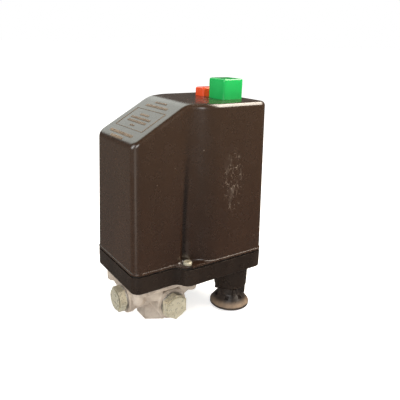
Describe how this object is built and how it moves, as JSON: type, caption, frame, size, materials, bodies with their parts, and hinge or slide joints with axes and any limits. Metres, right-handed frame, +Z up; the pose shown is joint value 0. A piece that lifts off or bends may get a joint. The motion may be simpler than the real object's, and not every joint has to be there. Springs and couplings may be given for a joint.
{
  "type": "pressure switch",
  "caption": "Slant-fronted compressor pressure switch with start and stop buttons, plugged manifold ports, threaded inlet and cable gland.",
  "frame": {"origin": "centre of the mouth of the threaded inlet, underneath the manifold", "axes": "+Z up along the inlet and the plunger, -Y out of the narrow slanted front, +X to the right seen from the front"},
  "size_m": [0.09, 0.122, 0.2015],
  "materials": {
    "cover_plastic": "satin moulded",
    "tray_plastic": "satin moulded",
    "gland_plastic": "satin moulded",
    "green_plastic": "glossy",
    "red_plastic": "glossy",
    "white_plastic": "satin",
    "dark_bakelite": "satin",
    "black_rubber": "matt",
    "cast_zinc": "die-cast, tumbled",
    "soft_aluminium": "turned",
    "zinc_plated_steel": "zinc plated",
    "bright_steel": "bright",
    "spring_steel": "drawn wire",
    "brass": "stamped"
  },
  "bodies": {
    "cover_shell": {"cover": "cover_plastic", "cover_screws": "zinc_plated_steel"},
    "base": {"base_tray": "tray_plastic", "cover_gasket": "black_rubber", "manifold": "cast_zinc", "port_plugs": "zinc_plated_steel", "plug_washers": "soft_aluminium", "flange_screws": "zinc_plated_steel", "diaphragm": "black_rubber", "frame_bracket": "zinc_plated_steel", "lever_pin": "bright_steel", "lever_clips": "spring_steel", "range_spring": "spring_steel", "differential_spring": "spring_steel", "earth_screw": "brass", "contact_block": "dark_bakelite", "block_screws": "zinc_plated_steel", "fixed_contacts": "brass", "terminal_screws": "zinc_plated_steel", "carrier_spring": "spring_steel", "overload_relay": "dark_bakelite", "button_housing": "dark_bakelite", "rocker_pin": "bright_steel", "button_spring": "spring_steel", "gland_body": "tray_plastic", "gland_seal": "black_rubber", "gland_nut": "gland_plastic", "entry_washers": "black_rubber", "entry_locknuts": "tray_plastic", "blanking_plug": "gland_plastic"},
    "plunger": {"diaphragm_piston": "soft_aluminium", "spring_seat": "bright_steel"},
    "switch_lever": {"lever": "bright_steel"},
    "carrier": {"contact_carrier": "white_plastic", "contact_bridges": "brass", "contact_springs": "spring_steel"},
    "start_button": {"green_button": "green_plastic"},
    "stop_button": {"red_button": "red_plastic"},
    "rocker": {"button_rocker": "white_plastic"},
    "range_adjuster": {"range_screw": "bright_steel"},
    "range_travelling_nut": {"range_nut": "bright_steel"},
    "differential_adjuster": {"differential_screw": "bright_steel"},
    "differential_travelling_nut": {"differential_nut": "bright_steel"},
    "dial": {"current_dial": "white_plastic"}
  },
  "joints": [
    {"name": "cover_lift", "type": "slide", "parent": "base", "child": "cover_shell", "axis": [0, 0, 1], "range_m": [0, 0.16]},
    {"name": "plunger_lift", "type": "slide", "parent": "base", "child": "plunger", "axis": [0, 0, 1], "range_m": [0, 0.0012], "deforming": ["range_spring", "differential_spring", "carrier_spring", "diaphragm"]},
    {"name": "lever_rock", "type": "hinge", "parent": "base", "child": "switch_lever", "pos_m": [0, -0.024, 0.057], "axis": [1, 0, 0], "range_deg": [0, 2.88]},
    {"name": "carrier_slide", "type": "slide", "parent": "base", "child": "carrier", "axis": [0, 0, 1], "range_m": [0, 0.003]},
    {"name": "green_press", "type": "slide", "parent": "base", "child": "start_button", "axis": [0, 0, -1], "range_m": [0, 0.005], "deforming": ["button_spring"]},
    {"name": "red_rise", "type": "slide", "parent": "base", "child": "stop_button", "axis": [0, 0, 1], "range_m": [0, 0.005]},
    {"name": "rocker_swing", "type": "hinge", "parent": "base", "child": "rocker", "pos_m": [-0.002, 0.0609, 0.158], "axis": [0, 1, 0], "range_deg": [0, 23.89]},
    {"name": "range_screw_turn", "type": "hinge", "parent": "base", "child": "range_adjuster", "pos_m": [0, 0, 0.112], "axis": [0, 0, 1], "range_deg": [0, 2162]},
    {"name": "range_nut_travel", "type": "slide", "parent": "base", "child": "range_travelling_nut", "axis": [0, 0, -1], "range_m": [0, 0.0075], "deforming": ["range_spring"]},
    {"name": "differential_screw_turn", "type": "hinge", "parent": "base", "child": "differential_adjuster", "pos_m": [0, 0.0205, 0.112], "axis": [0, 0, 1], "range_deg": [0, 2162]},
    {"name": "differential_nut_travel", "type": "slide", "parent": "base", "child": "differential_travelling_nut", "axis": [0, 0, -1], "range_m": [0, 0.0048], "deforming": ["differential_spring"]},
    {"name": "dial_turn", "type": "hinge", "parent": "base", "child": "dial", "pos_m": [0, 0.046, 0.121], "axis": [0, -1, 0], "range_deg": [-120, 120]}
  ],
  "couplings": [
    {"joint": "lever_rock", "follows": "plunger_lift", "rad_per_m": 41.667},
    {"joint": "carrier_slide", "follows": "plunger_lift", "ratio": 2.5},
    {"joint": "red_rise", "follows": "green_press", "ratio": 1},
    {"joint": "rocker_swing", "follows": "green_press", "rad_per_m": 83.333},
    {"joint": "range_screw_turn", "follows": "range_nut_travel", "rad_per_m": 5026.5},
    {"joint": "differential_screw_turn", "follows": "differential_nut_travel", "rad_per_m": 7854}
  ]
}
